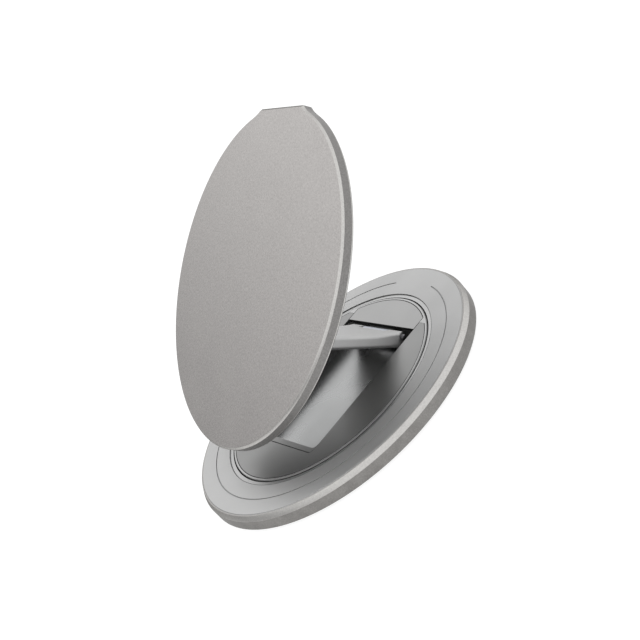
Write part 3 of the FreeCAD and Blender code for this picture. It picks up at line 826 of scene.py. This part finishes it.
@dataclass
class PhonePlate:
    """Round plate with a finger tab, its back cover and its hinge. Sizes are in millimetres, drawn flat."""

    radius: float = CAD_HIGH.x / MM
    thickness: float = 2.05
    front_chamfer: float = 0.35
    back_chamfer: float = 0.2
    tab_half_width: float = 7.6
    tab_drop: float = 0.44
    tab_corner: float = 0.8
    shoulder_x: float = 12.0
    shoulder_run: float = 1.9
    dip_x: float = 8.6
    dip: float = 0.1
    corner_share: float = 0.5
    clear_share: float = 0.6
    shoulder_points: int = 13
    corner_points: int = 7
    back_highlight_band: float = 0.15
    column_deg: float = 1.0
    ease: float = 0.05
    turn: np.ndarray = field(init=False)
    centre: np.ndarray = field(init=False)

    def __post_init__(self) -> None:
        """Reads the plate's place from the mount on its front face."""
        mount = next(m for m in frame["record"]["mounts"] if m["name"] == "plate_face")
        self.centre = np.array(mount["pos_m"]) / MM
        tilt = math.atan2(-mount["axis"][1], mount["axis"][2])
        self.turn = np.array(Matrix.Rotation(tilt, 3, "X"))

    def outline(self) -> np.ndarray:
        """Outline of the plate: a circle with a flat-topped finger tab.

        Each shoulder leaves the circle smoothly, dips a little inside it and rises to the tab's corner.

        Returns:
            Closed counter-clockwise outline.
        """
        shoulder_deg = math.degrees(math.acos(self.shoulder_x / self.radius))
        count = round((180.0 + 2.0 * shoulder_deg) / self.column_deg)
        round_part = arc(self.radius, 180.0 - shoulder_deg, 360.0 + shoulder_deg, count)
        right = self.shoulder()
        left = right[::-1] * np.array([-1.0, 1.0])
        return np.concatenate([round_part, right[1:], left[:-1]])

    def shoulder(self) -> np.ndarray:
        """Right shoulder of the tab, from the circle to the tab's flat top, with a rounded corner.

        The shoulder is the cubic curve (1 - t)^3 a + 3 t (1 - t)^2 b + 3 t^2 (1 - t) c + t^3 d, from a on the
        circle along b, on the tangent there, and by c, a little inside the circle, to the corner d. The
        corner is rounded by the curve (1 - t)^2 e + 2 t (1 - t) d + t^2 f, with e on the shoulder and f on
        the flat top, both a share of tab_corner from d.

        Returns:
            Points from the circle to the top.
        """
        def on_circle(x: float, radius: float) -> np.ndarray:
            """Point of a circle above x."""
            return np.array([x, math.sqrt(radius ** 2 - x ** 2)])

        top = self.radius - self.tab_drop
        start = on_circle(self.shoulder_x, self.radius)
        corner = np.array([self.tab_half_width, top])
        along = start + self.shoulder_run * np.array([-start[1], start[0]]) / self.radius
        under = on_circle(self.dip_x, self.radius - self.dip)
        t = np.linspace(0.0, 1.0, self.shoulder_points)[:, None]
        curve = (
            (1.0 - t) ** 3 * start + 3.0 * t * (1.0 - t) ** 2 * along
            + 3.0 * t ** 2 * (1.0 - t) * under + t ** 3 * corner
        )
        t = np.linspace(0.0, 1.0, self.corner_points)[:, None]
        back = curve[-2] - corner
        ease_start = corner + back / np.linalg.norm(back) * self.tab_corner * self.corner_share
        ease_end = corner - np.array([self.tab_corner * self.corner_share, 0.0])
        rounded = (1.0 - t) ** 2 * ease_start + 2.0 * t * (1.0 - t) * corner + t ** 2 * ease_end
        clear = self.tab_corner * self.clear_share
        before = curve[np.linalg.norm(curve - corner, axis=1) > clear]
        return np.concatenate([before, rounded])

    def front(self, shop: Workshop) -> None:
        """Builds the front plate: an edge section carried round the outline, turned into its place.

        Args:
            shop: Workshop that makes the piece.
        """
        # The band along the back of the side wall takes the bright edge finish, as a painted highlight. The
        # rest of the wall takes the plate wall finish, darker as painted shade.
        section = np.array([
            (self.back_chamfer, -self.thickness), (0.0, -self.thickness + self.back_chamfer),
            (0.0, -self.thickness + self.back_chamfer + self.back_highlight_band), (0.0, -self.front_chamfer),
            (self.front_chamfer, 0.0),
        ])
        face, edge, wall = range(3)
        flat = edged_plate(self.outline(), section, [edge, edge, wall, edge], (wall, face))
        surface = flat.placed(self.turn, self.centre)
        finishes = [PLATE_FACE, BRIGHT_EDGE, PLATE_WALL_SHADE]
        shop.piece("front_plate", surface, finishes, Body.PLATE, self.ease)

    def build(self, shop: Workshop) -> None:
        """Builds and dresses all pieces of the plate.

        Args:
            shop: Workshop that makes the pieces.
        """
        self.front(shop)
        shop.eased_copy("back_cover", DARK_SHEET, Body.PLATE, self.ease)
        shop.eased_copy("plate_hinge_knuckle", HINGE_STEEL, Body.PLATE, self.ease)
        shop.eased_copy("plate_hinge_pin", SHADED_PIN_STEEL, Body.PLATE, self.ease)
        shop.dress_node("plate_magnets", MAGNET_NICKEL)
        shop.dress_node("plate_yoke", SCREW_STEEL)
        shop.dress_node("plate_hinge_washers", SCREW_STEEL)
        shop.dress_node("plate_leaf_screws", SCREW_STEEL)


@dataclass
class Studio:
    """Pale floor, soft light and the photograph's camera. Lengths are in millimetres.

    Attributes:
        camera_at: Place of the camera.
        camera_aim: Point that it looks at.
        camera_roll_deg: Turn about its line of sight.
        focal_px: Focal length, in pixels of a picture frame_px wide.
        frame_px: Width of that picture.
        sensor: Width of the sensor.
        clip_near: Nearest distance that the camera sees.
        clip_far: Furthest distance that it sees.
        floor_half: Half the width of the floor.
        floor_drop: Gap between the floor and the stand.
        floor_colour: Colour that lights the stand from below.
        floor_roughness: Roughness of that colour.
        floor_glow: White that the camera and the metal see, whatever the shadow.
        floor_shown: Grey on top of it, which keeps the shadow.
        light_up: Direction along which the light gets brighter.
        light_low: Strength of the light near the horizon.
        light_high: Strength of the light overhead.
        light_from: Cosine to light_up at which it begins to rise.
        light_to: Cosine at which it is at its highest.
    """

    camera_at: Vector = field(default_factory=lambda: Vector((225.089, -65.969, 116.145)))
    camera_aim: Vector = field(default_factory=lambda: Vector((7.104, 4.684, 16.191)))
    camera_roll_deg: float = 42.035
    focal_px: float = 1501.7
    frame_px: float = 640.0
    sensor: float = 36.0
    clip_near: float = 10.0
    clip_far: float = 50000.0
    floor_half: float = 3000.0
    floor_drop: float = 0.02
    floor_colour: Colour = (0.56, 0.56, 0.56)
    floor_roughness: float = 0.9
    floor_glow: float = 0.88
    floor_shown: float = 0.25
    light_up: Vector = field(default_factory=lambda: Vector((0.2, 0.3, 0.93)))
    light_low: float = 0.38
    light_high: float = 1.13
    light_from: float = -0.07
    light_to: float = 0.27

    def build(self) -> None:
        """Builds the camera, the floor and the light."""
        self.camera()
        self.floor()
        self.world()

    def camera(self) -> None:
        """Places the camera: it looks at its aim point, and rolls about its line of sight."""
        data = bpy.data.cameras.new("photo_camera")
        data.sensor_width = self.sensor
        data.lens = data.sensor_width * self.focal_px / self.frame_px
        data.clip_start = self.clip_near * MM
        data.clip_end = self.clip_far * MM
        made = bpy.data.objects.new("photo_camera", data)
        bpy.context.scene.collection.objects.link(made)
        sight = (self.camera_aim - self.camera_at).normalized()
        level = sight.to_track_quat("-Z", "Y").to_matrix()
        roll = Matrix.Rotation(math.radians(-self.camera_roll_deg), 3, "Z")
        made.matrix_world = Matrix.Translation(self.camera_at * MM) @ (level @ roll).to_4x4()
        bpy.context.scene.camera = made

    def floor(self) -> None:
        """Makes the floor: a pale sheet that camera and metal see as white with a faint shadow."""
        half = self.floor_half * MM
        mesh = bpy.data.meshes.new("floor")
        corners = [(-half, -half), (half, -half), (half, half), (-half, half)]
        mesh.from_pydata([(x, y, -self.floor_drop * MM) for x, y in corners], [], [(0, 1, 2, 3)])
        made = bpy.data.objects.new("floor", mesh)
        bpy.context.scene.collection.objects.link(made)
        material = bpy.data.materials.new("pale_floor")
        material.use_nodes = True
        tree = material.node_tree
        own = tree.nodes["Principled BSDF"]
        own.inputs["Base Color"].default_value = (*self.floor_colour, 1.0)
        own.inputs["Roughness"].default_value = self.floor_roughness
        path = tree.nodes.new("ShaderNodeLightPath")
        glow = tree.nodes.new("ShaderNodeEmission")
        glow.inputs["Strength"].default_value = self.floor_glow
        shadow = tree.nodes.new("ShaderNodeBsdfDiffuse")
        shadow.inputs["Color"].default_value = (self.floor_shown,) * 3 + (1.0,)
        shown = tree.nodes.new("ShaderNodeAddShader")
        mix = tree.nodes.new("ShaderNodeMixShader")
        tree.links.new(glow.outputs["Emission"], shown.inputs[0])
        tree.links.new(shadow.outputs["BSDF"], shown.inputs[1])
        seen = path.outputs["Is Camera Ray"]
        for kind in ("Is Glossy Ray", "Is Transmission Ray"):
            either = tree.nodes.new("ShaderNodeMath")
            either.operation = "MAXIMUM"
            tree.links.new(seen, either.inputs[0])
            tree.links.new(path.outputs[kind], either.inputs[1])
            seen = either.outputs["Value"]
        tree.links.new(seen, mix.inputs[0])
        tree.links.new(own.outputs["BSDF"], mix.inputs[1])
        tree.links.new(shown.outputs["Shader"], mix.inputs[2])
        tree.links.new(mix.outputs["Shader"], tree.nodes["Material Output"].inputs["Surface"])
        mesh.materials.append(material)

    def world(self) -> None:
        """Makes the soft light: a surrounding that gets brighter along one direction."""
        world = bpy.data.worlds.new("soft_studio")
        bpy.context.scene.world = world
        world.use_nodes = True
        tree = world.node_tree
        light = tree.nodes["Background"]
        light.inputs["Color"].default_value = (1.0, 1.0, 1.0, 1.0)
        direction = tree.nodes.new("ShaderNodeTexCoord").outputs["Generated"]
        lift = tree.nodes.new("ShaderNodeVectorMath")
        lift.operation = "DOT_PRODUCT"
        lift.inputs[1].default_value = self.light_up.normalized()
        level = tree.nodes.new("ShaderNodeMapRange")
        level.interpolation_type = "SMOOTHSTEP"
        level.inputs["From Min"].default_value = self.light_from
        level.inputs["From Max"].default_value = self.light_to
        level.inputs["To Min"].default_value = self.light_low
        level.inputs["To Max"].default_value = self.light_high
        tree.links.new(direction, lift.inputs[0])
        tree.links.new(lift.outputs["Value"], level.inputs["Value"])
        tree.links.new(level.outputs["Result"], light.inputs["Strength"])


def main() -> None:
    """Builds the stand's sub-assemblies in order, then the studio."""
    logging.basicConfig(level=logging.INFO)
    bpy.context.scene.view_settings.view_transform = "Standard"
    shop = Workshop()
    for part in (BaseAssembly(), TurningDisc(), FoldingArm(), PhonePlate()):
        part.build(shop)
    Studio().build()


if __name__ == "__main__":
    main()
